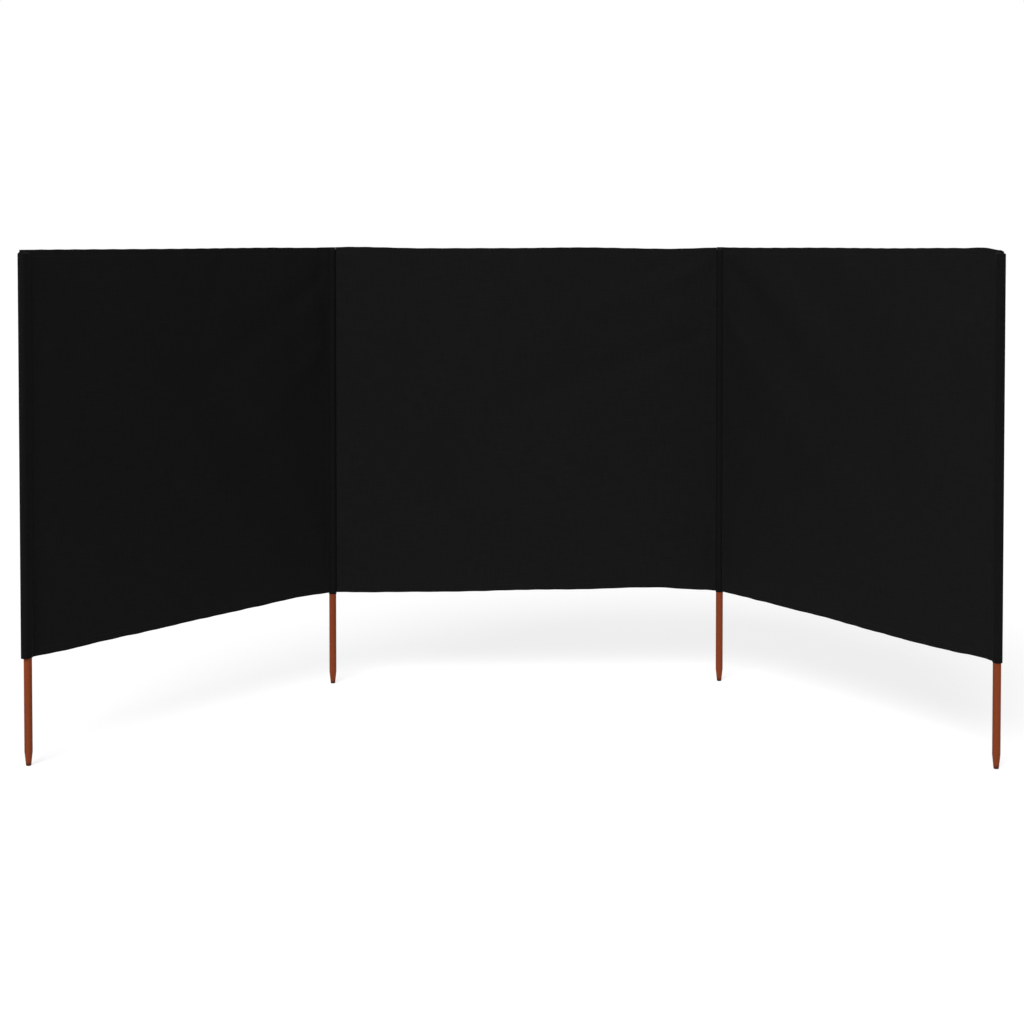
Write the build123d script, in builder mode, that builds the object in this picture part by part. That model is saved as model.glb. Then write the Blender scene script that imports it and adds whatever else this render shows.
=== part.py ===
from build123d import *
from collections import namedtuple
from math import cos, radians, sin
import os

# A beach windbreak: three bays of canvas on four pointed wooden stakes, its end bays swung forward.
# Millimetres, +Z up. The origin is the flat point of the left inner stake, the centre bay runs
# along +X to the right inner stake, and the sheltered side faces -Y.

# Stakes
BAY_PITCH = 1333
STAKE_DIAMETER = 24
BARE_STAKE = 310
POINT_LENGTH = 42
POINT_DIAMETER = 15
POINT_ROUND = 2.5
HEAD_CHAMFER = 1.5

# Where the end bays stand, in degrees from a straight run, forward positive
LEFT_SWING = 52
RIGHT_SWING = 60.6

# Cloth: drawn thicker than the real canvas, with its belly blown to the back
CLOTH_HEIGHT = 1190
FABRIC = 1.2
BELLY = 20
TOP_SAG = 4
FOOT_LIFT = 4
FOOT_RISE = 6
HEM_WIDTH = 24
SEAM_WIDTH = 12
SEWN_GAP = 0.2

# Sleeves, each closed by a pinched and sewn top
SLEEVE_EASE = 0.3
SLEEVE_TOP = 10
SLEEVE_TOP_BULGE = 2
END_SLEEVE_SLACK = 3.5
END_SLEEVE_LEAD = 6.7
SWING_GAP = 0.3
SWING_RELIEF = 14.5

# Worked out from the sizes above
SLEEVE_INSIDE = STAKE_DIAMETER / 2 + SLEEVE_EASE
SLEEVE_OUTSIDE = SLEEVE_INSIDE + FABRIC
CLOTH_TOP = BARE_STAKE + CLOTH_HEIGHT
STAKE_TOP = CLOTH_TOP - SLEEVE_TOP
LAP_INSIDE = SEWN_GAP
LAP_OUTSIDE = LAP_INSIDE + FABRIC
END_SLEEVE_REACH = SLEEVE_INSIDE + END_SLEEVE_LEAD
END_PANEL_START = END_SLEEVE_REACH + LAP_OUTSIDE + SEWN_GAP
INNER_PANEL_START = SLEEVE_OUTSIDE + SWING_GAP
INNER_TRIM_START = SLEEVE_OUTSIDE + SWING_RELIEF
FRONT = -FABRIC / 2
BACK = FABRIC / 2
LAP_FRONT = BACK + SEWN_GAP
LAP_BACK = LAP_FRONT + FABRIC

Bay = namedtuple("Bay", "left_stake heading panel_from panel_to trim_from trim_to")


def along(heading, distance=BAY_PITCH):
    """The step in plan that a heading in degrees and a distance give."""
    return Vector(cos(radians(heading)), sin(radians(heading))) * distance


def plan(spot, heading, height=0):
    """A level plane with X along a heading and Y to the back of the cloth."""
    return Plane(origin=(spot.X, spot.Y, height), x_dir=along(heading), z_dir=(0, 0, 1))


def elevation(spot, heading):
    """An upright plane with X along a heading and Y up, seen from the front."""
    return Plane(origin=spot, x_dir=along(heading), z_dir=along(heading - 90))


LEFT_INNER = Vector(0, 0)
RIGHT_INNER = LEFT_INNER + along(0)
LEFT_END = LEFT_INNER - along(LEFT_SWING)
RIGHT_END = RIGHT_INNER + along(-RIGHT_SWING)

STAKES = {
    "left_end": LEFT_END,
    "left_inner": LEFT_INNER,
    "right_inner": RIGHT_INNER,
    "right_end": RIGHT_END,
}

# Each bay runs from its left stake. Its hems and sewn laps stop short of a stake that it swings on
BAYS = {
    "left": Bay(
        LEFT_END,
        LEFT_SWING,
        END_PANEL_START,
        BAY_PITCH - INNER_PANEL_START,
        END_PANEL_START,
        BAY_PITCH - INNER_TRIM_START,
    ),
    "centre": Bay(
        LEFT_INNER,
        0,
        INNER_PANEL_START,
        BAY_PITCH - INNER_PANEL_START,
        INNER_TRIM_START,
        BAY_PITCH - INNER_TRIM_START,
    ),
    "right": Bay(
        RIGHT_INNER,
        -RIGHT_SWING,
        INNER_PANEL_START,
        BAY_PITCH - END_PANEL_START,
        INNER_TRIM_START,
        BAY_PITCH - END_PANEL_START,
    ),
}


def finish(piece, name):
    """Label a piece and write it to its own file."""
    piece.part.label = name
    export_step(piece.part, f"parts/{name}.step")


def stake(spot):
    """A turned stake: a tapered, blunted point, a plain shaft and a chamfered head."""
    with BuildPart() as piece:
        with BuildSketch(elevation(spot, 0)) as profile:
            with BuildLine():
                Polyline(
                    (0, 0),
                    (POINT_DIAMETER / 2, 0),
                    (STAKE_DIAMETER / 2, POINT_LENGTH),
                    (STAKE_DIAMETER / 2, STAKE_TOP),
                    (0, STAKE_TOP),
                    close=True,
                )
            make_face()
            point = profile.vertices().group_by(Axis.Y)[0].sort_by(Axis.X)[-1]
            fillet(point, POINT_ROUND)
            head = profile.vertices().group_by(Axis.Y)[-1].sort_by(Axis.X)[-1]
            chamfer(head, HEAD_CHAMFER)
        revolve(axis=Axis(spot, (0, 0, 1)))
    return piece


def cloth(bay, front, back, start, end, foot, head):
    """One layer of a bay's cloth between two distances behind its middle surface.

    foot and head give the heights of its lower and upper edge at the stakes and at mid bay.
    """
    middle = BAY_PITCH / 2
    with BuildPart() as piece:
        with BuildSketch(plan(bay.left_stake, bay.heading)):
            with BuildLine():
                ends = ((1, 0), (1, 0))
                near = Spline((0, front), (middle, front + BELLY), (BAY_PITCH, front), tangents=ends)
                far = Spline((0, back), (middle, back + BELLY), (BAY_PITCH, back), tangents=ends)
                Line(near @ 0, far @ 0)
                Line(near @ 1, far @ 1)
            make_face()
        extrude(amount=CLOTH_TOP)
        with BuildSketch(elevation(bay.left_stake, bay.heading)):
            with BuildLine():
                lower = ThreePointArc((0, foot[0]), (middle, foot[1]), (BAY_PITCH, foot[0]))
                upper = ThreePointArc((0, head[0]), (middle, head[1]), (BAY_PITCH, head[0]))
                Line(lower @ 0, upper @ 0)
                Line(lower @ 1, upper @ 1)
            make_face()
            with Locations(((start + end) / 2, CLOTH_TOP / 2)):
                Rectangle(end - start, 2 * CLOTH_TOP, mode=Mode.INTERSECT)
        extrude(amount=BAY_PITCH, both=True, mode=Mode.INTERSECT)
    return piece


def foot_line(inset):
    """Heights at the stakes and at mid bay of a line above the cloth's lower edge."""
    at_stake = BARE_STAKE + FOOT_LIFT + inset
    return at_stake, at_stake + FOOT_RISE


def head_line(inset):
    """Heights at the stakes and at mid bay of a line below the cloth's upper edge."""
    at_stake = CLOTH_TOP - inset
    return at_stake, at_stake - TOP_SAG


def panel(bay):
    """A bay's single sheet, inside the folds of its two hems."""
    inset = FABRIC + SEWN_GAP
    return cloth(bay, FRONT, BACK, bay.panel_from, bay.panel_to, foot_line(inset), head_line(inset))


def hem(bay, low, high):
    """A hem folded over the panel's edge, with its leaf sewn down at the back."""
    whole = cloth(bay, FRONT, LAP_BACK, bay.trim_from, bay.trim_to, low, high)
    room = cloth(bay, FRONT - FABRIC, LAP_FRONT, 0, BAY_PITCH, foot_line(FABRIC), head_line(FABRIC))
    with BuildPart() as piece:
        add(whole.part)
        add(room.part, mode=Mode.SUBTRACT)
    return piece


def lap(bay, start, end):
    """The lap that sews a sleeve to the back of the panel, between the two hems."""
    inset = HEM_WIDTH + SEWN_GAP
    return cloth(bay, LAP_FRONT, LAP_BACK, start, end, foot_line(inset), head_line(inset))


def sleeve_outline(radius, lap_radius=None):
    """The outline of a sleeve: round, or on an end stake a loose loop that closes at its lap."""
    if lap_radius is None:
        Circle(radius)
    else:
        with Locations((0, 0), (-END_SLEEVE_SLACK, 0)):
            Circle(radius)
        with Locations((END_SLEEVE_REACH, 0)):
            Circle(lap_radius)
        make_hull()


def sleeve(spot, heading, inside_lap=None, outside_lap=None):
    """The tube of cloth round a stake."""
    with BuildPart() as piece:
        with BuildSketch(plan(spot, heading, BARE_STAKE)):
            sleeve_outline(SLEEVE_OUTSIDE, outside_lap)
        extrude(amount=STAKE_TOP - BARE_STAKE)
        with BuildSketch(plan(spot, heading, BARE_STAKE)):
            sleeve_outline(SLEEVE_INSIDE, inside_lap)
        extrude(amount=STAKE_TOP - BARE_STAKE, mode=Mode.SUBTRACT)
    return piece


def sleeve_top(spot, heading, outside_lap=None):
    """The closed top of a sleeve, pinched from the tube to a flat seam along the bay."""
    seat = STAKE_TOP + SEWN_GAP
    with BuildPart() as piece:
        with BuildSketch(plan(spot, heading, seat)):
            sleeve_outline(SLEEVE_OUTSIDE, outside_lap)
        extrude(amount=CLOTH_TOP - seat)
        with BuildSketch(elevation(spot, heading - 90)):
            with BuildLine():
                flank = (SLEEVE_OUTSIDE + LAP_OUTSIDE) / 2 + SLEEVE_TOP_BULGE
                half_way = (seat + CLOTH_TOP) / 2
                front = ThreePointArc((-SLEEVE_OUTSIDE, seat), (-flank, half_way), (-LAP_OUTSIDE, CLOTH_TOP))
                back = ThreePointArc((SLEEVE_OUTSIDE, seat), (flank, half_way), (LAP_OUTSIDE, CLOTH_TOP))
                Line(front @ 0, back @ 0)
                Line(front @ 1, back @ 1)
            make_face()
        extrude(amount=STAKE_DIAMETER * 2, both=True, mode=Mode.INTERSECT)
    return piece


os.makedirs("parts", exist_ok=True)

for place, spot in STAKES.items():
    finish(stake(spot), f"{place}_stake")

# The inner stakes have round sleeves, which the end bays swing on
for place in ("left_inner", "right_inner"):
    finish(sleeve(STAKES[place], 0), f"{place}_sleeve")
    finish(sleeve_top(STAKES[place], 0), f"{place}_sleeve_top")

# The end stakes have looped sleeves, each with its lap towards the middle of its bay
for place, heading in (("left_end", LEFT_SWING), ("right_end", 180 - RIGHT_SWING)):
    finish(sleeve(STAKES[place], heading, LAP_INSIDE, LAP_OUTSIDE), f"{place}_sleeve")
    finish(sleeve_top(STAKES[place], heading, LAP_OUTSIDE), f"{place}_sleeve_top")

for place, bay in BAYS.items():
    finish(panel(bay), f"{place}_panel")
    finish(hem(bay, head_line(HEM_WIDTH), head_line(0)), f"{place}_top_hem")
    finish(hem(bay, foot_line(0), foot_line(HEM_WIDTH)), f"{place}_foot_hem")
    finish(lap(bay, bay.trim_from, bay.trim_from + SEAM_WIDTH), f"{place}_panel_left_lap")
    finish(lap(bay, bay.trim_to - SEAM_WIDTH, bay.trim_to), f"{place}_panel_right_lap")
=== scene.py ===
"""A beach windbreak: three bays of near-black canvas on four pointed, stained wooden stakes."""

import math

import bmesh
import bpy
import numpy as np
from bpy.props import FloatProperty, FloatVectorProperty, IntProperty, PointerProperty
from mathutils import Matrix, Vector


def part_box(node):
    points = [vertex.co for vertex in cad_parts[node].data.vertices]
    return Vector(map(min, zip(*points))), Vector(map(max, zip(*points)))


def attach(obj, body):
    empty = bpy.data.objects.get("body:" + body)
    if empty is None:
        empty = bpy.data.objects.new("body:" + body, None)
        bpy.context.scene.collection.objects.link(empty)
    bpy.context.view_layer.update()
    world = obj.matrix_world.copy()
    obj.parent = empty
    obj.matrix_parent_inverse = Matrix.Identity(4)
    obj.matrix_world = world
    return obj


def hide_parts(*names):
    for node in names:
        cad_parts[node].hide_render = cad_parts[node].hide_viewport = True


bl_info = {
    "name": "Beach Windbreak",
    "version": (1, 0, 0),
    "blender": (4, 5, 0),
    "location": "3D View > Sidebar > Windbreak",
    "description": "Builds the canvas, stitching and finishes of a three-bay beach windbreak",
    "category": "Object",
}

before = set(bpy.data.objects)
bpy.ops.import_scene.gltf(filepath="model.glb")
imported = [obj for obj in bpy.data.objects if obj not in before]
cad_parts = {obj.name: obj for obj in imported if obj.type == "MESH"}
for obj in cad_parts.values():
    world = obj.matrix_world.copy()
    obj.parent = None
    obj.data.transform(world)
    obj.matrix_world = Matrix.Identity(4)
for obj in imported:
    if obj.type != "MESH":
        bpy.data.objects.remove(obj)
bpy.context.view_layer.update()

MM = 0.001
TURN = 2 * math.pi
WHITE = (1, 1, 1, 1)

# Sockets of a Mix node that mixes colours
FIRST, SECOND, MIXED = 6, 7, 2

# Finishes
CANVAS = "Black woven canvas"
# The sleeves' cloth is a darker black than the canvas: painted shade on the sleeves
SHADED_SLEEVE_CLOTH = "Black sleeve cloth"
THREAD = "Bonded sewing thread"
WOOD = "Stained softwood"
PAPER = "White seamless paper"


def stake_axis(place):
    """Where a stake's axis meets the ground, from its own box."""
    low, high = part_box(f"{place}_stake")
    return np.array([(low[0] + high[0]) / 2, (low[1] + high[1]) / 2])


# Places, from the frame
STAKES = {place: stake_axis(place) for place in ("left_end", "left_inner", "right_inner", "right_end")}
BAY_PITCH = float(np.linalg.norm(STAKES["right_inner"] - STAKES["left_inner"]))
CLOTH_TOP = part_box("left_inner_sleeve_top")[1][2]
SLEEVE_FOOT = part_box("left_inner_sleeve")[0][2]
SLEEVE_OUTSIDE = (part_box("left_inner_sleeve")[1][0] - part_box("left_inner_sleeve")[0][0]) / 2
STAKE_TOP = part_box("left_inner_stake")[1][2]

# Inner sleeves: their clearance from the bays that swing on them, and how far they stop below CLOTH_TOP
SWING_GAP = 0.06 * MM
SLEEVE_DROP = 0.5 * MM

# End sleeves: where the loop closes and its lap begins, how far out the cloth counts as sleeve, and how far
# the loop's back and front stand off the line of the bay where it closes
LOOP_TIP = 19.5 * MM
LOOP_EDGE = 18 * MM
LOOP_BACK = 1.6 * MM
LOOP_FRONT = 0.5 * MM
# Where the lap's cloth starts beside the tip, and the point at which the front runs on into the bay
LAP_START = 1.5 * MM
LOOP_END = (2 * MM, -0.15 * MM)
# Points along each side of the loop and round its outside
LOOP_SIDE = 6
LOOP_ROUND = 26
# A lap's cloth lies this many sewn layers behind the bay
LAP_LAYERS = 3

# How far each end sleeve's loop hangs slack beyond its stake, in mm
LOOP_SLACK = {"left": 8.5, "right": 3.5}

# A sleeve's closed top: the height of its flat seam, the share of the tube's depth that is pressed out of
# it, how far its stitches run to each side of the axis in sleeve radii, the number of points they follow,
# and the share of the hem's leaf that is left there
SEAM_HEIGHT = 4 * MM
PINCH = 0.93
SEAM_REACH = 1.15
SEAM_POINTS = 9
SEAM_LEAF = 0.06

# Share of its reach past the stake by which an end sleeve's outer corner is drawn in, and how far down from
# the top the mesh is fine for that
CORNER_ROUND = 0.15
CLOSED_HEIGHT = 13 * MM

# The cloth's mesh is this fine beside its edges, over a reach along a bay and over a share of its height
FINE_STEP = 3 * MM
FINE_ALONG = 60 * MM
FINE_UP = 0.045
# Steps across a hem's leaf, and points round its fold and round the fold of a bay's end
HEM_STEPS = 5
HEM_FOLD = 5
END_FOLD = 7

# Heights of the cloth's edges in mm, against the sleeve's foot and top, at shares of the bay's length
FOOT_LINES = {
    "left": (
        (0, 6), (0.13, 3.6), (0.25, 5.6), (0.41, 2.6), (0.54, 6.6), (0.66, 6.9), (0.86, 11.8), (1, 6)
    ),
    "centre": ((0, 5), (0.12, 3), (0.28, 2.4), (0.6, 7.2), (0.83, 15), (0.96, 6.8), (1, 3)),
    "right": (
        (0, 3), (0.18, 3.1), (0.34, -1.2), (0.42, -1.4), (0.58, -5.7), (0.82, -3.6), (0.96, 2), (1, 0)
    ),
}
HEAD_LINES = {
    "left": ((0, 2), (0.5, 0), (0.75, 0.6), (0.92, -1.2), (1, -0.5)),
    "centre": ((0, -0.5), (0.05, 1), (0.24, -3.8), (0.45, -3.5), (0.64, -1.2), (0.87, -5.8), (1, -1.8)),
    "right": (
        (0, -1), (0.1, -1), (0.45, 2.2), (0.58, 2.4), (0.88, 6.1), (0.95, 8.3), (1, 1.2), (1.012, -2.5)
    ),
}

# Fine ripple of those edges: its height, and for each edge its pitch and the length in which the drift of
# that pitch turns by a radian
RIPPLE = 0.3 * MM
FOOT_RIPPLE = (83 * MM, 110 * MM)
HEAD_RIPPLE = (71 * MM, 130 * MM)

# The cloth lies flat out to HELD from a stake's axis, and is free FREEING further on
HELD = 16 * MM
FREEING = 50 * MM

# The belly is shallower by this share at the cloth's edges, and deeper by it half way up
BELLY_SHARE = 0.12

# Drag folds in each bay: from, to (share of the length, share of the height), depth and half width in mm
DRAG_FOLDS = {
    "left": (
        ((0.98, 0.93), (0.45, 0.55), 4.5, 60),
        ((0.97, 0.72), (0.6, 0.38), -3.5, 70),
        ((0.04, 0.9), (0.38, 0.52), 3.5, 55),
        ((0.03, 0.3), (0.35, 0.1), -3.0, 60),
        ((0.62, 0.98), (0.52, 0.7), 2.5, 45),
    ),
    "centre": (
        ((0.97, 0.76), (0.28, 0.46), 5.0, 65),
        ((0.97, 0.95), (0.5, 0.74), -3.5, 55),
        ((0.03, 0.95), (0.3, 0.66), 3.5, 50),
        ((0.97, 0.08), (0.72, 0.34), -4.0, 60),
        ((0.04, 0.2), (0.36, 0.28), 2.5, 55),
    ),
    "right": (
        ((0.03, 0.95), (0.42, 0.6), 5.0, 60),
        ((0.03, 0.8), (0.24, 0.56), -4.0, 45),
        ((0.97, 0.88), (0.68, 0.5), -3.5, 65),
        ((0.96, 0.15), (0.6, 0.3), 3.5, 60),
        ((0.05, 0.12), (0.3, 0.2), 3.0, 50),
    ),
}

# Share of its half width that a drag fold has at its start, and the share that it gains to its end
FOLD_START = 0.45
FOLD_GROWTH = 0.9
# Where a drag fold begins to rise and has faded out, and over how much, in shares of its length
FOLD_RISE = (-0.12, 0.25)
FOLD_FADE = (1.15, 0.6)

# Low waves over a whole bay: how many, and ranges of their number along it, number up it and height in mm
WAVES = 9
WAVES_ALONG = (1.6, 4.2)
WAVES_UP = (1.2, 3.6)
WAVE_HEIGHTS = (0.4, 1.3)

# Waves beside the upper and the lower edge: reach in from the edge, pitch along it, and height
EDGE_WAVES = (
    ("head", 190 * MM, 213 * MM, 1.5 * MM),
    ("foot", 160 * MM, 187 * MM, 1.3 * MM),
    ("head", 35 * MM, 47 * MM, 0.2 * MM),
    ("foot", 35 * MM, 51 * MM, 0.2 * MM),
)
# Their pitch drifts by this phase, over this many pitches
WAVE_DRIFT = 1.9
DRIFT_PITCHES = 2.7

# Puckers beside the seams at the sleeves: height, pitch up the seam, the length over which that pitch drifts
# and by what phase, where they start, how fast they rise, how far they stay full and how they fade beyond
PUCKER = 0.55 * MM
PUCKER_PITCH = 58 * MM
PUCKER_DRIFT = (210 * MM, 1.5)
PUCKER_START = 14 * MM
PUCKER_RISE = 8 * MM
PUCKER_FULL = 24 * MM
PUCKER_REACH = 35 * MM

# Rows of stitches up the sleeves' laps: inset from a lap's edges, where a lap begins beside an inner sleeve,
# depth of the sewn layers, how far below the cloth's top the rows end, and the step of the line they follow
SEAM_INSET = 2.5 * MM
INNER_LAP = SLEEVE_OUTSIDE + 1.2 * MM
LAP_DEPTH = 2 * MM
SEAM_END = 12 * MM
SEAM_STEP = 6 * MM
# A stitch's ends sink into the cloth by this share of half its width
STITCH_SINK = 0.4

# The photograph's viewpoint, how far it is turned to the right, and how far above the picture's middle its
# horizon lies, as a share of the picture's width
EYE = (0.4277, -6.9436, 1.5627)
EYE_TURN = math.radians(1.556)
HORIZON = 0.2766
# Width of the camera's sensor in mm, and how many metres away it still sees
SENSOR = 36.0
FAR = 300

# Soft lamps: the turn of each about the vertical and its height, and how wide they are to the eye
KEY = (math.radians(-21), math.radians(40))
FILL = (math.radians(195), math.radians(35))
LAMP_WIDTH = math.radians(30)

# Half the floor's side, and the strength of the white that is seen on it without its shadows
FLOOR_REACH = 60
PAPER_LIGHT = 1.09


def linear(code):
    """An sRGB hex colour as linear RGBA."""
    parts = [int(code[i : i + 2], 16) / 255 for i in (1, 3, 5)]
    return tuple(c / 12.92 if c <= 0.04045 else ((c + 0.055) / 1.055) ** 2.4 for c in parts) + (1.0,)


def node(tree, kind, inputs=None, **settings):
    """Add a node with its settings and inputs; an input that is an output socket is linked."""
    made = tree.nodes.new(kind)
    for name, value in settings.items():
        setattr(made, name, value)
    for name, value in (inputs or {}).items():
        if isinstance(value, bpy.types.NodeSocket):
            tree.links.new(value, made.inputs[name])
        else:
            made.inputs[name].default_value = value
    return made


def material_tree(name):
    """The empty node tree of a new material."""
    made = bpy.data.materials.new(name)
    made.use_nodes = True
    made.node_tree.nodes.clear()
    return made.node_tree


def band_scale(pitch):
    """The Wave texture's scale that draws one band every pitch metres."""
    return math.pi / (10 * pitch)


class CanvasSettings(bpy.types.PropertyGroup):
    """Sizes and colours of the cloth."""

    thickness: FloatProperty(
        name="Thickness", description="Thickness of the canvas", default=0.45 * MM, unit="LENGTH"
    )
    layer_gap: FloatProperty(
        name="Layer Gap", description="From one sewn layer to the next", default=0.6 * MM, unit="LENGTH"
    )
    sleeve_radius: FloatProperty(
        name="Sleeve Radius", description="From a stake's axis to the middle of its sleeve's cloth",
        default=SLEEVE_OUTSIDE - 0.6 * MM, unit="LENGTH",
    )
    hem_width: FloatProperty(
        name="Hem Width", description="Width of the hems' leaves", default=24 * MM, unit="LENGTH"
    )
    lap_width: FloatProperty(
        name="Lap Width", description="Width of the laps beside the sleeves", default=14 * MM, unit="LENGTH"
    )
    belly: FloatProperty(
        name="Belly", description="How far each bay is blown to the back", default=20 * MM, unit="LENGTH"
    )
    step_along: FloatProperty(
        name="Step Along", description="Widest step of the cloth's mesh along a bay",
        default=6.5 * MM, unit="LENGTH",
    )
    step_up: FloatProperty(
        name="Step Up", description="Widest step of the cloth's mesh up a bay",
        default=10 * MM, unit="LENGTH",
    )
    thread_pitch: FloatProperty(
        name="Thread Pitch", description="From one warp thread to the next", default=0.9 * MM, unit="LENGTH"
    )
    colour: FloatVectorProperty(
        name="Colour", description="Dyed canvas", subtype="COLOR", size=4, default=linear("#0F0F0F")
    )
    # The lighter canvas colour is a painted sheen of the nap, laid in patches of faded dye
    sheen_and_fade_colour: FloatVectorProperty(
        name="Sheen And Fade Colour", description="Canvas where its nap catches light", subtype="COLOR", size=4,
        default=linear("#161616"),
    )
    # The sleeves' two colours are darker than the canvas's: painted shade on the sleeves
    painted_shade_sleeve_colour: FloatVectorProperty(
        name="Sleeve Colour", description="Sleeve cloth darkened as painted shade", subtype="COLOR", size=4,
        default=linear("#0A0A0A"),
    )
    painted_shade_sleeve_sheen_colour: FloatVectorProperty(
        name="Shaded Sleeve Sheen Colour", description="Sleeves where their nap catches light",
        subtype="COLOR", size=4, default=linear("#111111"),
    )
    seed: IntProperty(name="Seed", description="Seed of the small creases", default=7)


class StitchSettings(bpy.types.PropertyGroup):
    """Sizes and colour of the sewing thread."""

    pitch: FloatProperty(
        name="Pitch", description="From one stitch to the next", default=4 * MM, unit="LENGTH"
    )
    length: FloatProperty(name="Length", description="Length of a stitch", default=3.2 * MM, unit="LENGTH")
    width: FloatProperty(name="Width", description="Width of the thread", default=0.6 * MM, unit="LENGTH")
    hem_inset: FloatProperty(
        name="Hem Inset", description="From a hem's fold to its row of stitches",
        default=20 * MM, unit="LENGTH",
    )
    colour: FloatVectorProperty(
        name="Colour", description="Bonded thread", subtype="COLOR", size=4, default=linear("#181818")
    )


class StakeSettings(bpy.types.PropertyGroup):
    """Colours of the stained wood."""

    colour: FloatVectorProperty(
        name="Colour", description="Stained face of the wood", subtype="COLOR", size=4,
        default=linear("#863C1A"),
    )
    late_wood: FloatVectorProperty(
        name="Late Wood", description="Darker bands of the grain", subtype="COLOR", size=4,
        default=linear("#451A09"),
    )
    end_grain: FloatVectorProperty(
        name="End Grain", description="Stain soaked into the cut point", subtype="COLOR", size=4,
        default=linear("#34160D"),
    )
    grain_pitch: FloatProperty(
        name="Grain Pitch", description="From one band of grain to the next",
        default=2.6 * MM, unit="LENGTH",
    )


class StageSettings(bpy.types.PropertyGroup):
    """Camera and lamps."""

    lens: FloatProperty(
        name="Lens", description="Focal length on a 36 mm sensor", default=71.3, unit="CAMERA"
    )
    pitch: FloatProperty(
        name="Pitch", description="How far the camera looks down", default=math.radians(2.0),
        subtype="ANGLE",
    )
    key_strength: FloatProperty(
        name="Key Strength", description="Soft light from the front left", default=2.45
    )
    fill_strength: FloatProperty(name="Fill Strength", description="Soft light from behind", default=0.6)
    studio_strength: FloatProperty(
        name="Studio Strength", description="Even light from all round", default=0.33
    )
    paper_glow: FloatProperty(
        name="Paper Glow", description="How much of the floor's white is seen without its shadows",
        default=0.7, subtype="FACTOR",
    )


def smooth(x):
    """An eased step from 0 to 1."""
    x = np.clip(x, 0.0, 1.0)
    return x * x * (3 - 2 * x)


def eased_line(points, share):
    """Heights in metres along a line of (share, millimetres) points, eased between them."""
    shares, heights = (np.array(column, float) for column in zip(*points))
    share = np.clip(share, shares[0], shares[-1])
    index = np.clip(np.searchsorted(shares, share, side="right") - 1, 0, len(shares) - 2)
    step = smooth((share - shares[index]) / (shares[index + 1] - shares[index]))
    return MM * (heights[index] + step * (heights[index + 1] - heights[index]))


def spread(start, end, fine, coarse, reach):
    """Values from start to end, fine near both ends and coarse beyond reach of them."""
    values, at = [start], start
    while at < end:
        near = min(at - start, end - at) / reach
        at += fine + (coarse - fine) * float(smooth(near))
        values.append(at)
    values = np.array(values)
    return start + (values - start) * (end - start) / (values[-1] - start)


def placed(origin, along, s, d, z):
    """Points at s along a direction in plan, d to its left and z up."""
    behind = np.array([-along[1], along[0]])
    flat = origin + np.multiply.outer(s, along) + np.multiply.outer(d, behind)
    return np.concatenate([flat, np.broadcast_to(z, s.shape)[..., None]], axis=-1)


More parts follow.
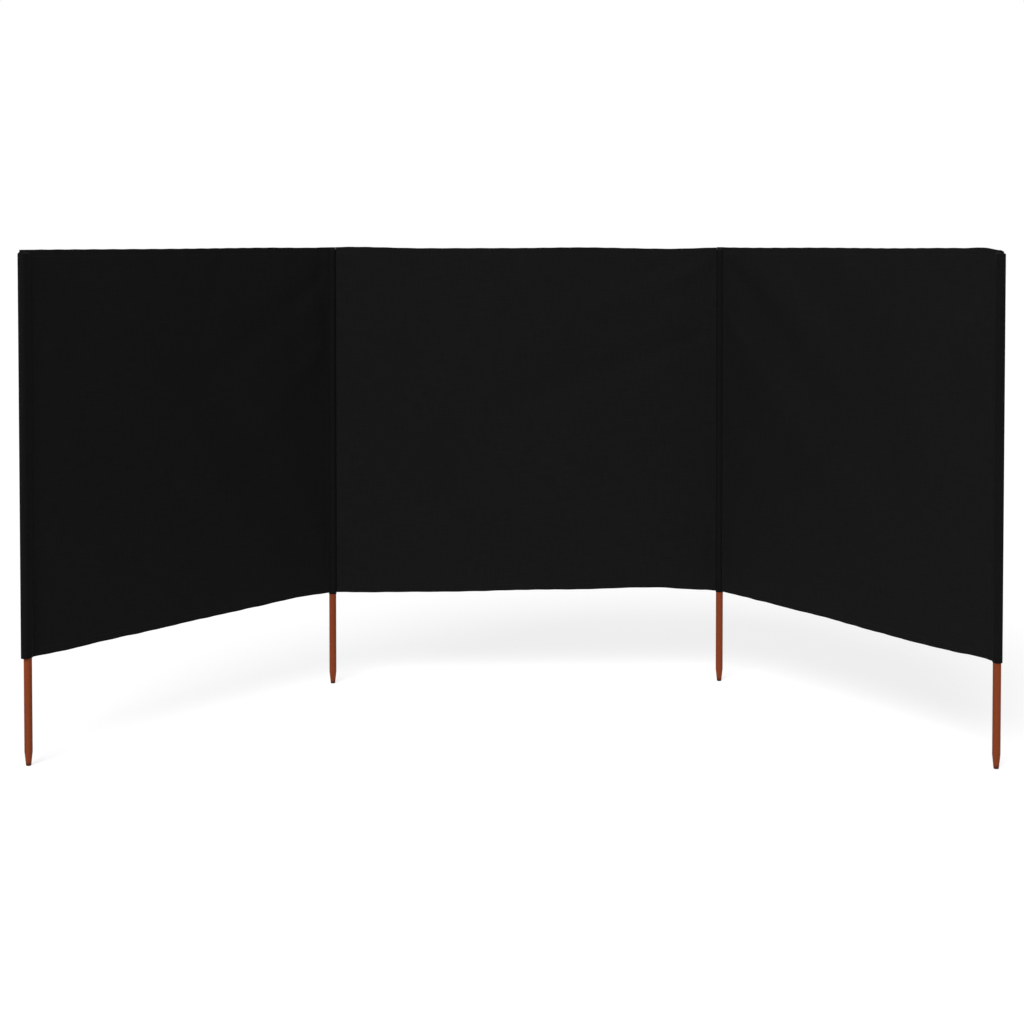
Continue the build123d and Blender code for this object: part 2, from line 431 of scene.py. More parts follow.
class Bay:
    """One bay of cloth in plan and elevation: s runs along it, d behind it, z up."""

    def __init__(self, name, left, right):
        self.name = name
        self.origin = STAKES[left]
        step = STAKES[right] - STAKES[left]
        self.along = step / np.linalg.norm(step)
        self.behind = np.array([-self.along[1], self.along[0]])
        self.loops = (left.endswith("end"), right.endswith("end"))
        canvas = bpy.context.scene.windbreak_canvas
        self.belly = canvas.belly
        rng = np.random.default_rng(canvas.seed + len(name))
        self.waves = [
            (
                rng.uniform(*WAVES_ALONG),
                rng.uniform(*WAVES_UP),
                rng.uniform(0, TURN),
                rng.uniform(*WAVE_HEIGHTS) * MM,
            )
            for _ in range(WAVES)
        ]
        self.foot_phase, self.head_phase = rng.uniform(0, TURN, 2)
        self.edge_phases = rng.uniform(0, TURN, len(EDGE_WAVES))
        self.pucker_phases = rng.uniform(0, TURN, 2)

    def edge(self, s, level, lines, ripple, phase):
        """Height of the cloth's upper or lower edge, with a fine ripple where the cloth is free."""
        pitch, drift = ripple
        wave = RIPPLE * np.sin(TURN * s / pitch + phase + 2 * np.sin(s / drift))
        return level + eased_line(lines[self.name], s / BAY_PITCH) + wave * self.free(s)

    def foot(self, s):
        """Height of the cloth's lower edge."""
        return self.edge(s, SLEEVE_FOOT, FOOT_LINES, FOOT_RIPPLE, self.foot_phase)

    def head(self, s):
        """Height of the cloth's upper edge."""
        return self.edge(s, CLOTH_TOP, HEAD_LINES, HEAD_RIPPLE, self.head_phase)

    def free(self, s):
        """How free the cloth is of its sleeves: 0 at them and 1 along the bay."""
        return smooth((s - HELD) / FREEING) * smooth((BAY_PITCH - s - HELD) / FREEING)

    def depth(self, s, z):
        """How far the cloth lies behind the straight line between its stakes."""
        foot, head = self.foot(s), self.head(s)
        share, rise = s / BAY_PITCH, (z - foot) / (head - foot)
        depth = self.belly * smooth(1 - np.abs(2 * share - 1)) * (1 - BELLY_SHARE * np.cos(TURN * rise))
        depth = depth + self.drag_folds(share, rise)
        for across, up, phase, height in self.waves:
            depth = depth + height * np.sin(TURN * (across * share + up * rise) + phase)
        from_edge = {"head": np.maximum(head - z, 0), "foot": np.maximum(z - foot, 0)}
        for (edge, reach, pitch, height), phase in zip(EDGE_WAVES, self.edge_phases):
            drift = WAVE_DRIFT * np.sin(TURN * s / (pitch * DRIFT_PITCHES) + phase)
            fade = np.exp(-from_edge[edge] / reach)
            depth = depth + height * fade * np.sin(TURN * s / pitch + phase + drift)
        return depth * self.free(s) + self.puckers(s, z)

    def drag_folds(self, share, rise):
        """Depth of the folds that run from the cloth's edges into the bay, each wider as it goes."""
        depth, cloth_height = 0.0, CLOTH_TOP - SLEEVE_FOOT
        for (s0, r0), (s1, r1), height, half_width in DRAG_FOLDS[self.name]:
            span = np.array([(s1 - s0) * BAY_PITCH, (r1 - r0) * cloth_height])
            long = np.linalg.norm(span)
            x, y = (share - s0) * BAY_PITCH, (rise - r0) * cloth_height
            t = (x * span[0] + y * span[1]) / long**2
            off = (x * span[1] - y * span[0]) / long
            width = half_width * MM * (FOLD_START + FOLD_GROWTH * np.clip(t, 0, 1))
            fade = smooth((t - FOLD_RISE[0]) / FOLD_RISE[1]) * smooth((FOLD_FADE[0] - t) / FOLD_FADE[1])
            depth = depth + height * MM * fade * np.exp(-((off / width) ** 2))
        return depth

    def puckers(self, s, z):
        """Depth of the small puckers that the seams draw beside both sleeves."""
        depth = 0.0
        drift_length, drift_phase = PUCKER_DRIFT
        for edge, phase in zip((s, BAY_PITCH - s), self.pucker_phases):
            drift = drift_phase * np.sin(TURN * z / drift_length + phase)
            pucker = np.sin(TURN * z / PUCKER_PITCH + phase + drift)
            fade = np.exp(-np.maximum(edge - PUCKER_FULL, 0) / PUCKER_REACH)
            depth = depth + PUCKER * smooth((edge - PUCKER_START) / PUCKER_RISE) * fade * pucker
        return depth

    def place(self, s, d, z):
        """Points at s along the bay, d behind it and z up."""
        return placed(self.origin, self.along, s, d, z)


def arc(centre, radius, start, end, count):
    """Points on an arc in plan, from one angle in degrees to another."""
    angles = np.radians(np.linspace(start, end, count))
    return [(centre + radius * math.cos(a), radius * math.sin(a)) for a in angles]


def loop_end(canvas, slack):
    """Plan of an end sleeve from its lap to the panel: a loose loop that closes on itself."""
    radius, lap = canvas.sleeve_radius, LAP_LAYERS * canvas.layer_gap
    back_turn = math.degrees(math.acos((radius - LOOP_BACK) / LOOP_TIP))
    front_turn = math.degrees(math.acos((radius - LOOP_FRONT) / LOOP_TIP))
    path = [(LOOP_TIP + reach, lap) for reach in (canvas.lap_width, canvas.lap_width / 2, LAP_START)]
    path += arc(0, radius, back_turn, 90, LOOP_SIDE)
    path += arc(-slack, radius, 90, 270, LOOP_ROUND)
    path += arc(0, radius, 270, 360 - front_turn, LOOP_SIDE)
    path += [(LOOP_TIP, -LOOP_FRONT), (LOOP_TIP + LOOP_END[0], LOOP_END[1])]
    return np.array(path)


def turned_end(canvas):
    """Plan of a panel's end at an inner sleeve, its edge turned to the back."""
    start = canvas.sleeve_radius + canvas.thickness / 2 + SWING_GAP
    fold = LAP_LAYERS / 2 * canvas.layer_gap
    path = [(start + fold + canvas.lap_width * share, 2 * fold) for share in (1, 0.66, 0.33)]
    for a in np.linspace(0, math.pi, END_FOLD):
        path.append((start + fold - fold * math.sin(a), fold + fold * math.cos(a)))
    return np.array(path)


def bay_path(bay, canvas):
    """The whole plan line of a bay's cloth, from its left lap to its right lap."""
    slack = MM * LOOP_SLACK.get(bay.name, 0)
    left, right = (loop_end(canvas, slack) if loop else turned_end(canvas) for loop in bay.loops)
    middle = spread(left[-1, 0], BAY_PITCH - right[-1, 0], FINE_STEP, canvas.step_along, FINE_ALONG)[1:-1]
    right = right[::-1] * (-1, 1) + (BAY_PITCH, 0)
    return np.concatenate([left, np.stack([middle, np.zeros(len(middle))], axis=1), right])


def hem_rows(canvas):
    """One hem from its leaf's free edge to the fold: (height above the fold, share of the layer gap)."""
    leaf = [(canvas.hem_width * (1 - i / HEM_STEPS), 1.0) for i in range(HEM_STEPS)]
    half = canvas.layer_gap / 2
    turn = np.linspace(0, math.pi, HEM_FOLD)
    return np.array(leaf + [(half - half * math.sin(a), (1 + math.cos(a)) / 2) for a in turn])


def along_path(path):
    """Distances along a plan line, and the unit normals to its back."""
    step = np.gradient(path, axis=0)
    step /= np.linalg.norm(step, axis=1)[:, None]
    lengths = np.linalg.norm(np.diff(path, axis=0), axis=1)
    return np.concatenate([[0], np.cumsum(lengths)]), np.stack([-step[:, 1], step[:, 0]], axis=1)


def pinch(z, head):
    """How open a sleeve is: 1 along the stake, closing to a flat sewn seam at its top."""
    closing = head - SEAM_HEIGHT - STAKE_TOP
    return 1 - PINCH * smooth((z - STAKE_TOP) / closing)


def cloth_grid(path, foot, head, depth, canvas, in_sleeve, beyond):
    """Plan points and heights of a hemmed sheet, in rows and columns.

    beyond says how far each column lies past its end stake, where the top corner is rounded.
    """
    hem = hem_rows(canvas)
    height = CLOTH_TOP - SLEEVE_FOOT
    rise = spread(0, 1, FINE_STEP / height, canvas.step_up / height, FINE_UP)[1:-1]
    closing = 1 - np.arange(MM, CLOSED_HEIGHT, MM) / height
    rise = np.union1d(rise[rise < closing[-1]], closing)
    half = canvas.layer_gap / 2
    leaf = np.where(in_sleeve, SEAM_LEAF, 1.0)
    rows = [(foot + up, np.full(len(path), gap)) for up, gap in hem]
    for share in rise:
        rows.append((foot + half + share * (head - foot - 2 * half), np.zeros(len(path))))
    for down, gap in hem[::-1]:
        rows.append((head - half - (down - half) * np.where(down > half, leaf, 1.0), gap * leaf))
    z = np.array([row[0] for row in rows])
    gap = np.array([row[1] for row in rows]) * canvas.layer_gap
    plan = path[None] + along_path(path)[1][None] * gap[..., None]
    squeeze = np.where(in_sleeve, pinch(z, head), 1.0)
    rounded = CORNER_ROUND * beyond * (1 - squeeze)
    plan = np.stack([plan[..., 0] - rounded, plan[..., 1] * squeeze + depth(plan[..., 0], z)], axis=-1)
    return plan, z


def sheet_object(name, points, lengths, canvas, in_sleeve, closed=False):
    """A cloth mesh from rows by columns of points, with its flat size in metres as its UV map."""
    rows, columns = points.shape[:2]
    wide = columns if closed else columns - 1
    index = np.arange(rows * columns).reshape(rows, columns)
    right = np.roll(index, -1, axis=1)
    faces = np.stack([index[:-1, :wide], right[:-1, :wide], right[1:, :wide], index[1:, :wide]], axis=-1)
    mesh = bpy.data.meshes.new(name)
    mesh.from_pydata(points.reshape(-1, 3).tolist(), [], faces.reshape(-1, 4).tolist())
    middle = columns // 2
    up = np.concatenate([[0], np.cumsum(np.linalg.norm(np.diff(points[:, middle], axis=0), axis=1))])
    u = np.broadcast_to(np.append(lengths, lengths[-1] + lengths[1]), (rows, columns + 1))
    v = np.broadcast_to(up[:, None], (rows, columns + 1))
    flat = np.stack([u, v], axis=-1)
    corners = [flat[:-1, :wide], flat[:-1, 1 : wide + 1], flat[1:, 1 : wide + 1], flat[1:, :wide]]
    uv = mesh.uv_layers.new(name="cloth")
    uv.data.foreach_set("uv", np.stack(corners, axis=2).reshape(-1).astype(np.float32))
    mesh.materials.append(bpy.data.materials[CANVAS])
    # Columns in a sleeve get the darker sleeve cloth, which is painted shade
    mesh.materials.append(bpy.data.materials[SHADED_SLEEVE_CLOTH])
    mesh.polygons.foreach_set("material_index", np.tile(in_sleeve[:wide], rows - 1).astype(np.int32))
    mesh.shade_smooth()
    made = bpy.data.objects.new(name, mesh)
    bpy.context.collection.objects.link(made)
    skin = made.modifiers.new("thickness", "SOLIDIFY")
    skin.thickness = canvas.thickness
    skin.offset = 0
    return made, (float(lengths[-1]), float(up[-1]))


def stitch_row(points, outward, stitch):
    """Vertices and faces of a row of stitches along points, raised towards outward."""
    step = np.linalg.norm(np.diff(points, axis=0), axis=1)
    far = np.concatenate([[0], np.cumsum(step)])
    at = np.arange(stitch.pitch, far[-1] - stitch.pitch, stitch.pitch)
    centre = np.stack([np.interp(at, far, points[:, i]) for i in range(3)], axis=1)
    ahead = np.stack([np.interp(at + MM, far, points[:, i]) for i in range(3)], axis=1) - centre
    ahead /= np.linalg.norm(ahead, axis=1)[:, None]
    out = np.stack([np.interp(at, far, outward[:, i]) for i in range(3)], axis=1)
    out /= np.linalg.norm(out, axis=1)[:, None]
    side = np.cross(ahead, out)
    half, width = stitch.length / 2, stitch.width / 2
    corners = [
        centre - ahead * half - out * width * STITCH_SINK,
        centre + ahead * half - out * width * STITCH_SINK,
        centre + side * width,
        centre + out * width,
        centre - side * width,
        centre - out * width,
    ]
    verts = np.stack(corners, axis=1).reshape(-1, 3)
    ring = ((2, 3), (3, 4), (4, 5), (5, 2))
    one = [(0, b, a) for a, b in ring] + [(1, a, b) for a, b in ring]
    faces = (np.arange(len(at))[:, None, None] * len(corners) + np.array(one)[None]).reshape(-1, 3)
    return verts, faces


def stitching_object(name, rows):
    """One mesh from several rows of stitches."""
    verts, faces, base = [], [], 0
    for v, f in rows:
        verts.append(v)
        faces.append(f + base)
        base += len(v)
    mesh = bpy.data.meshes.new(name)
    mesh.from_pydata(np.concatenate(verts).tolist(), [], np.concatenate(faces).tolist())
    mesh.materials.append(bpy.data.materials[THREAD])
    mesh.shade_smooth()
    made = bpy.data.objects.new(name, mesh)
    bpy.context.collection.objects.link(made)
    return made


def bays():
    """The three bays from the left, each of which rides on the body of its name."""
    return (
        Bay("left", "left_end", "left_inner"),
        Bay("centre", "left_inner", "right_inner"),
        Bay("right", "right_inner", "right_end"),
    )


def inner_sleeves():
    """Each inner sleeve's place, and its top seam's direction, a third of the way round to its end bay."""
    left, centre, right = bays()
    for place, wing in (("left_inner", left), ("right_inner", right)):
        turned = 2 * centre.along + wing.along
        yield place, turned / np.linalg.norm(turned)


def in_loop(bay, path):
    """Which columns of a bay's path lie in an end sleeve's loop."""
    left = bay.loops[0] & (path[:, 0] < LOOP_EDGE)
    right = bay.loops[1] & (path[:, 0] > BAY_PITCH - LOOP_EDGE)
    return left | right


class WINDBREAK_OT_materials(bpy.types.Operator):
    """Make the finishes: black woven canvas, bonded thread and red-brown stained wood"""

    bl_idname = "windbreak.materials"
    bl_label = "Make Finishes"

    def execute(self, context):
        canvas = context.scene.windbreak_canvas
        self.canvas(CANVAS, canvas.thread_pitch, canvas.colour, canvas.sheen_and_fade_colour)
        # The sleeves get the same cloth in darker colours, as painted shade
        self.canvas(SHADED_SLEEVE_CLOTH, canvas.thread_pitch, canvas.painted_shade_sleeve_colour, canvas.painted_shade_sleeve_sheen_colour)
        self.thread(context.scene.windbreak_stitches)
        self.wood(context.scene.windbreak_stakes)
        return {"FINISHED"}

    def canvas(self, name, thread_pitch, colour, sheen_and_fade_colour):
        """Plain-weave polyester canvas, piece dyed black: matt, with uneven yarn and a faint nap, whose
        sheen is painted as a lighter colour on the thick places of the yarn.
        """
        tree = material_tree(name)
        flat = node(tree, "ShaderNodeUVMap", uv_map="cloth").outputs["UV"]
        # Thick places in the yarn are 60 to 70 mm long, and drawn 2 mm wide so that they show from afar
        warp_scale = (1 / (2.1 * MM), 1 / (62 * MM), 1)
        weft_scale = (1 / (70 * MM), 1 / (2.4 * MM), 1)
        slubs = []
        for scale in (warp_scale, weft_scale):
            drawn = node(tree, "ShaderNodeMapping", {"Vector": flat, "Scale": scale}).outputs["Vector"]
            noise = {"Vector": drawn, "Scale": 1.0, "Detail": 2.0, "Roughness": 0.5}
            slubs.append(node(tree, "ShaderNodeTexNoise", noise).outputs["Fac"])
        slub = node(tree, "ShaderNodeMath", {0: slubs[0], 1: slubs[1]}, operation="ADD").outputs[0]
        # Threads lie about half a millimetre apart in such cloth, and are drawn coarser
        wave = {"Scale": band_scale(thread_pitch), "Distortion": 0.6, "Detail": 1.0, "Detail Scale": 0.2}
        threads = [
            node(
                tree, "ShaderNodeTexWave", {"Vector": flat, **wave}, wave_type="BANDS",
                bands_direction=direction, wave_profile="SIN",
            ).outputs["Fac"]
            for direction in ("X", "Y")
        ]
        weave = node(tree, "ShaderNodeMath", {0: threads[0], 1: threads[1]}, operation="MULTIPLY")
        # The dye has faded unevenly, in patches about a third of a metre across
        patch = node(
            tree, "ShaderNodeTexNoise",
            {"Vector": flat, "Scale": 1 / (330 * MM), "Detail": 4.0, "Roughness": 0.55},
        )
        # The thick places of the yarn get the lighter colour within the faded patches: a painted sheen of
        # the nap catching light, mixed with real uneven fading
        slub_sheen = node(tree, "ShaderNodeMapRange", {"Value": slub, "From Min": 0.75, "From Max": 1.3})
        sheen_and_fade = node(
            tree, "ShaderNodeMath", {0: slub_sheen.outputs["Result"], 1: patch.outputs["Fac"]},
            operation="MULTIPLY",
        )
        colour = node(
            tree, "ShaderNodeMix", {"Factor": sheen_and_fade.outputs[0], FIRST: colour, SECOND: sheen_and_fade_colour},
            data_type="RGBA",
        )
        rough = node(
            tree, "ShaderNodeMapRange",
            {"Value": slub, "From Min": 0.7, "From Max": 1.3, "To Min": 0.94, "To Max": 0.84},
        )
        fine = node(
            tree, "ShaderNodeBump", {"Height": weave.outputs[0], "Strength": 0.35, "Distance": 0.15 * MM}
        )
        bump = node(
            tree, "ShaderNodeBump",
            {"Height": slub, "Strength": 0.5, "Distance": 0.35 * MM, "Normal": fine.outputs["Normal"]},
        )
        shader = node(
            tree, "ShaderNodeBsdfPrincipled",
            {
                "Base Color": colour.outputs[MIXED],
                "Roughness": rough.outputs["Result"],
                "IOR": 1.5,
                "Specular IOR Level": 0.08,
                "Normal": bump.outputs["Normal"],
            },
        )
        node(tree, "ShaderNodeOutputMaterial", {"Surface": shader.outputs["BSDF"]})

    def thread(self, settings):
        """Bonded nylon thread, a little shinier than the cloth that it sinks into."""
        tree = material_tree(THREAD)
        place = node(tree, "ShaderNodeTexCoord").outputs["Object"]
        # The plies turn once in 1.1 mm
        twist = node(tree, "ShaderNodeTexNoise", {"Vector": place, "Scale": 1 / (1.1 * MM), "Detail": 1.0})
        dark = tuple(c * 0.7 for c in settings.colour[:3]) + (1.0,)
        colour = node(
            tree, "ShaderNodeMix",
            {"Factor": twist.outputs["Fac"], FIRST: dark, SECOND: settings.colour},
            data_type="RGBA",
        )
        shader = node(
            tree, "ShaderNodeBsdfPrincipled",
            {"Base Color": colour.outputs[MIXED], "Roughness": 0.6, "IOR": 1.53, "Specular IOR Level": 0.3},
        )
        node(tree, "ShaderNodeOutputMaterial", {"Surface": shader.outputs["BSDF"]})

    def wood(self, settings):
        """Turned softwood dowel, dip-stained red-brown: a satin skin over fine straight grain."""
        tree = material_tree(WOOD)
        place = node(tree, "ShaderNodeTexCoord").outputs["Object"]
        # The growth rings' middle lies beside the stake, so their cut edges run up its face as lines.
        # Every pattern is drawn out along Z, which is the way the fibres run
        drawn = node(
            tree, "ShaderNodeMapping",
            {"Vector": place, "Location": (47 * MM, -31 * MM, 0), "Scale": (1, 1, 0.03)},
        ).outputs["Vector"]
        drift = node(
            tree, "ShaderNodeTexNoise", {"Vector": drawn, "Scale": 1 / (14 * MM), "Detail": 3.0}
        )
        bands = node(
            tree, "ShaderNodeTexWave",
            {
                "Vector": drawn,
                "Scale": band_scale(settings.grain_pitch),
                "Distortion": 3.5,
                "Detail": 3.0,
                "Detail Scale": 0.5,
                "Detail Roughness": 0.55,
            },
            wave_type="RINGS", rings_direction="Z", wave_profile="SAW",
        )
        # Pores are a tenth of this wide in real wood, and drawn coarser so that they show
        pores = node(
            tree, "ShaderNodeTexNoise", {"Vector": drawn, "Scale": 1 / (0.6 * MM), "Detail": 2.0}
        ).outputs["Fac"]
        streak = node(
            tree, "ShaderNodeMapRange",
            {"Value": pores, "From Min": 0.35, "From Max": 0.75, "To Min": 0.5, "To Max": 1.5},
        )
        broad = node(
            tree, "ShaderNodeMath", {0: bands.outputs["Fac"], 1: drift.outputs["Fac"]},
            operation="MULTIPLY",
        )
        grain = node(
            tree, "ShaderNodeMath", {0: broad.outputs[0], 1: streak.outputs["Result"]},
            operation="MULTIPLY", use_clamp=True,
        ).outputs[0]
        face = node(
            tree, "ShaderNodeMix", {"Factor": grain, FIRST: settings.colour, SECOND: settings.late_wood},
            data_type="RGBA",
        )
        height = node(tree, "ShaderNodeSeparateXYZ", {"Vector": place}).outputs["Z"]
        # The cut point has drunk more of the stain over its lowest 14 mm
        soak = node(
            tree, "ShaderNodeMapRange",
            {"Value": height, "From Min": 3 * MM, "From Max": 14 * MM, "To Min": 0.9, "To Max": 0.0},
        )
        colour = node(
            tree, "ShaderNodeMix",
            {"Factor": soak.outputs["Result"], FIRST: face.outputs[MIXED], SECOND: settings.end_grain},
            data_type="RGBA",
        )
        rough = node(
            tree, "ShaderNodeMapRange",
            {"Value": pores, "From Min": 0.3, "From Max": 0.7, "To Min": 0.42, "To Max": 0.62},
        )
        relief = node(tree, "ShaderNodeMath", {0: pores, 1: grain}, operation="ADD")
        bump = node(
            tree, "ShaderNodeBump", {"Height": relief.outputs[0], "Strength": 0.4, "Distance": 0.2 * MM}
        )
        shader = node(
            tree, "ShaderNodeBsdfPrincipled",
            {
                "Base Color": colour.outputs[MIXED],
                "Roughness": rough.outputs["Result"],
                "IOR": 1.5,
                "Specular IOR Level": 0.14,
                "Normal": bump.outputs["Normal"],
            },
        )
        node(tree, "ShaderNodeOutputMaterial", {"Surface": shader.outputs["BSDF"]})


class WINDBREAK_OT_stakes(bpy.types.Operator):
    """Finish the four turned stakes in stained wood"""

    bl_idname = "windbreak.stakes"
    bl_label = "Finish Stakes"

    def execute(self, context):
        wood = bpy.data.materials[WOOD]
        for place in STAKES:
            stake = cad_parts[f"{place}_stake"]
            if not stake.material_slots:
                stake.data.materials.append(wood)
            for slot in stake.material_slots:
                slot.material = wood
        return {"FINISHED"}


class WINDBREAK_OT_canvas(bpy.types.Operator):
    """Build each bay's sheet, hemmed at head and foot and looped round its end stake"""

    bl_idname = "windbreak.canvas"
    bl_label = "Build Bay Canvas"

    def execute(self, context):
        canvas = context.scene.windbreak_canvas
        for bay in bays():
            path = bay_path(bay, canvas)
            s = path[:, 0]
            loop = in_loop(bay, path)
            beyond = np.minimum(s, 0) + np.maximum(s - BAY_PITCH, 0)
            plan, z = cloth_grid(path, bay.foot(s), bay.head(s), bay.depth, canvas, loop, beyond)
            points = bay.place(plan[..., 0], plan[..., 1], z)
            made, flat = sheet_object(f"{bay.name}_canvas", points, along_path(path)[0], canvas, loop)
            made["flat"] = flat
            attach(made, f"{bay.name}_bay")
            parts = ["panel", "top_hem", "foot_hem", "panel_left_lap", "panel_right_lap"]
            if any(bay.loops):
                parts += ["end_sleeve", "end_sleeve_top"]
            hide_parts(*[f"{bay.name}_{part}" for part in parts])
        return {"FINISHED"}


class WINDBREAK_OT_sleeves(bpy.types.Operator):
    """Build the round sleeves of the inner stakes, each pinched and sewn at its top"""

    bl_idname = "windbreak.sleeves"
    bl_label = "Build Inner Sleeves"
    columns: IntProperty(name="Columns", description="Points round a sleeve", default=56, min=12)

    def execute(self, context):
        canvas = context.scene.windbreak_canvas
        radius = canvas.sleeve_radius
        turn = np.linspace(0, TURN, self.columns + 1)
        path = np.stack([np.cos(turn), np.sin(turn)], axis=1) * radius
        sleeve = np.ones(len(path), bool)
        foot, head = np.full(len(path), SLEEVE_FOOT), np.full(len(path), CLOTH_TOP - SLEEVE_DROP)
        step = TURN * radius / self.columns
        lengths = step * np.arange(self.columns)
        plan, z = cloth_grid(path, foot, head, lambda s, z: 0 * z, canvas, sleeve, np.zeros(len(path)))
        for place, along in inner_sleeves():
            points = placed(STAKES[place], along, plan[..., 0], plan[..., 1], z)[:, :-1]
            made, size = sheet_object(f"{place}_sleeve_canvas", points, lengths, canvas, sleeve, closed=True)
            made["flat"] = (size[0] + step, size[1])
            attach(made, "centre_bay")
            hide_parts(f"{place}_sleeve", f"{place}_sleeve_top")
        return {"FINISHED"}


class WINDBREAK_OT_stitching(bpy.types.Operator):
    """Sew the hems, the laps beside the sleeves and the sleeves' tops, a row on each face of the cloth"""

    bl_idname = "windbreak.stitching"
    bl_label = "Sew Hems, Laps and Sleeve Tops"

    def execute(self, context):
        canvas, stitch = context.scene.windbreak_canvas, context.scene.windbreak_stitches
        for bay in bays():
            rows = self.hems(bay, canvas, stitch) + self.laps(bay, canvas, stitch)
            for at, loops in zip((0, BAY_PITCH), bay.loops):
                if loops:
                    reach = np.linspace(-SEAM_REACH, SEAM_REACH, SEAM_POINTS) * canvas.sleeve_radius
                    heads = bay.head(at + reach)
                    rows += self.top_seam(bay.origin + at * bay.along, bay.along, heads, canvas, stitch)
            made = stitching_object(f"{bay.name}_stitching", rows)
            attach(made, f"{bay.name}_bay")
            any(bay.loops)
        for place, along in inner_sleeves():
            heads = np.full(SEAM_POINTS, CLOTH_TOP - SLEEVE_DROP)
            rows = self.top_seam(STAKES[place], along, heads, canvas, stitch)
            made = stitching_object(f"{place}_stitching", rows)
            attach(made, "centre_bay")
        return {"FINISHED"}

    def hems(self, bay, canvas, stitch):
        """The rows along a bay's foot and head, in front all round its loops and behind on the panel."""
        path = bay_path(bay, canvas)
        normal = along_path(path)[1]
        skin = canvas.thickness / 2
        panel = (path[:, 1] == 0) & ~in_loop(bay, path)
        s = path[:, 0]
        outer = path - normal * skin
        face = -(np.outer(normal[:, 0], bay.along) + np.outer(normal[:, 1], bay.behind))
        face = np.concatenate([face, np.zeros((len(face), 1))], axis=1)
        rows = []
        for z in (bay.foot(s) + stitch.hem_inset, bay.head(s) - stitch.hem_inset):
            front = bay.place(outer[:, 0], outer[:, 1] + bay.depth(outer[:, 0], z), z)
            rows.append(stitch_row(front, face, stitch))
            behind = bay.depth(s[panel], z[panel]) + canvas.layer_gap + skin
            rows.append(stitch_row(bay.place(s[panel], behind, z[panel]), -face[panel], stitch))
        return rows

    def laps(self, bay, canvas, stitch):
        """The two rows up each lap beside a sleeve, on both faces of the cloth."""
        skin = canvas.thickness / 2
        heights = np.arange(bay.foot(np.array([0.5 * BAY_PITCH]))[0], CLOTH_TOP - SEAM_END, SEAM_STEP)
        outward = np.tile(np.append(bay.behind, 0.0), (len(heights), 1))
        rows = []
        for side, loops in enumerate(bay.loops):
            start = LOOP_TIP if loops else INNER_LAP
            for inset in (SEAM_INSET, canvas.lap_width - SEAM_INSET):
                at = start + inset if side == 0 else BAY_PITCH - start - inset
                column = np.full(len(heights), at)
                depth = bay.depth(column, heights)
                for offset, way in ((-skin, -1), (LAP_DEPTH + skin, 1)):
                    row = bay.place(column, depth + offset, heights)
                    rows.append(stitch_row(row, way * outward, stitch))
        return rows

    def top_seam(self, stake, along, heads, canvas, stitch):
        """The row of stitches that closes a sleeve's top, on both of its faces, below its edge at heads."""
        reach = np.linspace(-SEAM_REACH, SEAM_REACH, len(heads)) * canvas.sleeve_radius
        face = np.full(len(reach), (1 - PINCH) * canvas.sleeve_radius + canvas.thickness / 2)
        out = placed(np.zeros(2), along, 0 * reach, np.ones(len(reach)), 0.0)
        return [
            stitch_row(placed(stake, along, reach, way * face, heads - SEAM_HEIGHT / 2), way * out, stitch)
            for way in (-1, 1)
        ]


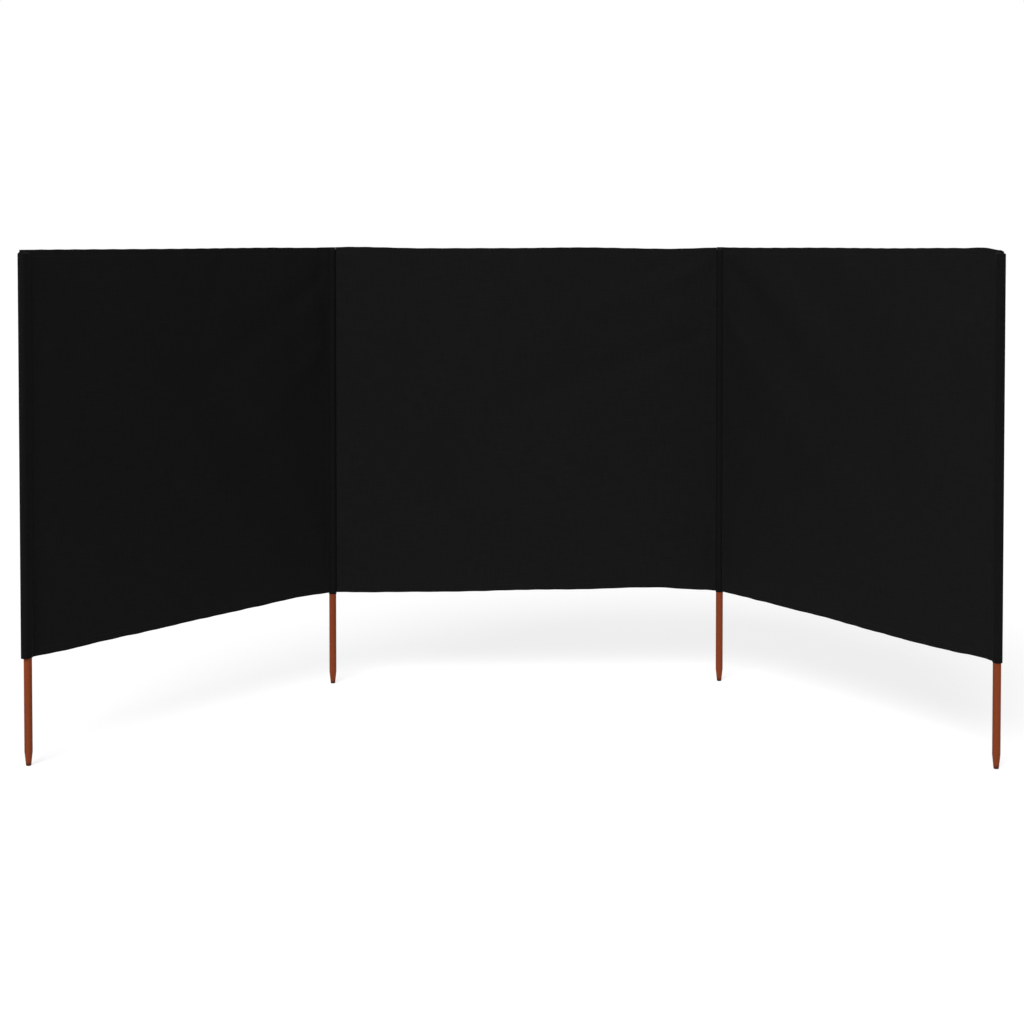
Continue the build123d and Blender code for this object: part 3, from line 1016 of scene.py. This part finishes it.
class WINDBREAK_OT_stage(bpy.types.Operator):
    """Set the floor, lamps, world and camera"""

    bl_idname = "windbreak.stage"
    bl_label = "Set Stage"

    def execute(self, context):
        scene, stage = context.scene, context.scene.windbreak_stage
        self.floor(stage.paper_glow)
        self.world(scene, stage.studio_strength)
        for name, (turn, height), strength in (
            ("key", KEY, stage.key_strength),
            ("fill", FILL, stage.fill_strength),
        ):
            light = bpy.data.lights.new(name, "SUN")
            light.energy = strength
            light.angle = LAMP_WIDTH
            lamp = bpy.data.objects.new(name, light)
            context.collection.objects.link(lamp)
            lamp.rotation_euler = (math.pi / 2 - height, 0, turn)
        self.camera(scene, stage)
        scene.view_settings.view_transform = "Standard"
        return {"FINISHED"}

    def seen_rays(self, tree):
        """1 for what the camera sees, also in a gloss or through glass, and 0 for light on the object."""
        rays = node(tree, "ShaderNodeLightPath").outputs
        mirrored = node(
            tree, "ShaderNodeMath", {0: rays["Is Glossy Ray"], 1: rays["Is Transmission Ray"]},
            operation="MAXIMUM",
        )
        return node(
            tree, "ShaderNodeMath", {0: rays["Is Camera Ray"], 1: mirrored.outputs[0]}, operation="MAXIMUM"
        ).outputs[0]

    def floor(self, glow):
        """Matt white seamless paper, which the camera sees at full white wherever no shadow falls."""
        tree = material_tree(PAPER)
        # Pulp clouds 25 mm across, just off white
        fibre = node(tree, "ShaderNodeTexNoise", {"Scale": 1 / (25 * MM), "Detail": 3.0})
        paper = node(
            tree, "ShaderNodeMix",
            {"Factor": fibre.outputs["Fac"], FIRST: linear("#F2F2F2"), SECOND: linear("#F7F7F7")},
            data_type="RGBA",
        )
        diffuse = node(tree, "ShaderNodeBsdfDiffuse", {"Color": paper.outputs[MIXED], "Roughness": 0.4})
        white = node(tree, "ShaderNodeEmission", {"Color": WHITE, "Strength": PAPER_LIGHT})
        share = node(tree, "ShaderNodeMath", {0: self.seen_rays(tree), 1: glow}, operation="MULTIPLY")
        both = node(
            tree, "ShaderNodeMixShader", {0: share.outputs[0], 1: diffuse.outputs[0], 2: white.outputs[0]}
        )
        node(tree, "ShaderNodeOutputMaterial", {"Surface": both.outputs[0]})
        mesh = bpy.data.meshes.new("floor")
        grid = bmesh.new()
        bmesh.ops.create_grid(grid, x_segments=4, y_segments=4, size=FLOOR_REACH)
        grid.to_mesh(mesh)
        grid.free()
        mesh.materials.append(bpy.data.materials[PAPER])
        plane = bpy.data.objects.new("floor", mesh)
        bpy.context.collection.objects.link(plane)

    def world(self, scene, strength):
        """An even white studio: white to the camera, softer as light."""
        scene.world = bpy.data.worlds.new("Studio")
        scene.world.use_nodes = True
        tree = scene.world.node_tree
        tree.nodes.clear()
        level = node(
            tree, "ShaderNodeMapRange", {"Value": self.seen_rays(tree), "To Min": strength, "To Max": 1.0}
        )
        sky = node(tree, "ShaderNodeBackground", {"Color": WHITE, "Strength": level.outputs["Result"]})
        node(tree, "ShaderNodeOutputWorld", {"Surface": sky.outputs["Background"]})

    def camera(self, scene, stage):
        """The photograph's viewpoint: seven metres off at eye height, almost level."""
        data = bpy.data.cameras.new("camera")
        data.lens = stage.lens
        data.sensor_width = SENSOR
        data.clip_end = FAR
        data.shift_y = stage.lens / SENSOR * math.tan(stage.pitch) - HORIZON
        camera = bpy.data.objects.new("camera", data)
        bpy.context.collection.objects.link(camera)
        camera.location = EYE
        camera.rotation_euler = (math.pi / 2 - stage.pitch, 0, -EYE_TURN)
        scene.camera = camera


class WINDBREAK_PT_panel(bpy.types.Panel):
    """Lists the windbreak's pieces and their settings"""

    bl_idname = "WINDBREAK_PT_panel"
    bl_label = "Beach Windbreak"
    bl_space_type = "VIEW_3D"
    bl_region_type = "UI"
    bl_category = "Windbreak"

    def draw(self, context):
        column = self.layout.column()
        for operator in OPERATORS:
            column.operator(operator.bl_idname)
        for name in SETTINGS:
            group = getattr(context.scene, name)
            for prop in group.bl_rna.properties:
                if prop.identifier not in ("rna_type", "name"):
                    column.prop(group, prop.identifier)


SETTINGS = {
    "windbreak_canvas": CanvasSettings,
    "windbreak_stitches": StitchSettings,
    "windbreak_stakes": StakeSettings,
    "windbreak_stage": StageSettings,
}
OPERATORS = (
    WINDBREAK_OT_materials,
    WINDBREAK_OT_stakes,
    WINDBREAK_OT_canvas,
    WINDBREAK_OT_sleeves,
    WINDBREAK_OT_stitching,
    WINDBREAK_OT_stage,
)


def register():
    for kind in (*SETTINGS.values(), *OPERATORS, WINDBREAK_PT_panel):
        bpy.utils.register_class(kind)
    for name, group in SETTINGS.items():
        setattr(bpy.types.Scene, name, PointerProperty(type=group))


def unregister():
    for name in SETTINGS:
        delattr(bpy.types.Scene, name)
    for kind in (WINDBREAK_PT_panel, *reversed(OPERATORS), *SETTINGS.values()):
        bpy.utils.unregister_class(kind)


def main():
    """Build every piece in order; each cloth sheet keeps its flat size."""
    register()
    bpy.ops.windbreak.materials()
    bpy.ops.windbreak.stakes()
    bpy.ops.windbreak.canvas()
    bpy.ops.windbreak.sleeves()
    bpy.ops.windbreak.stitching()
    bpy.ops.windbreak.stage()


if __name__ == "__main__":
    main()
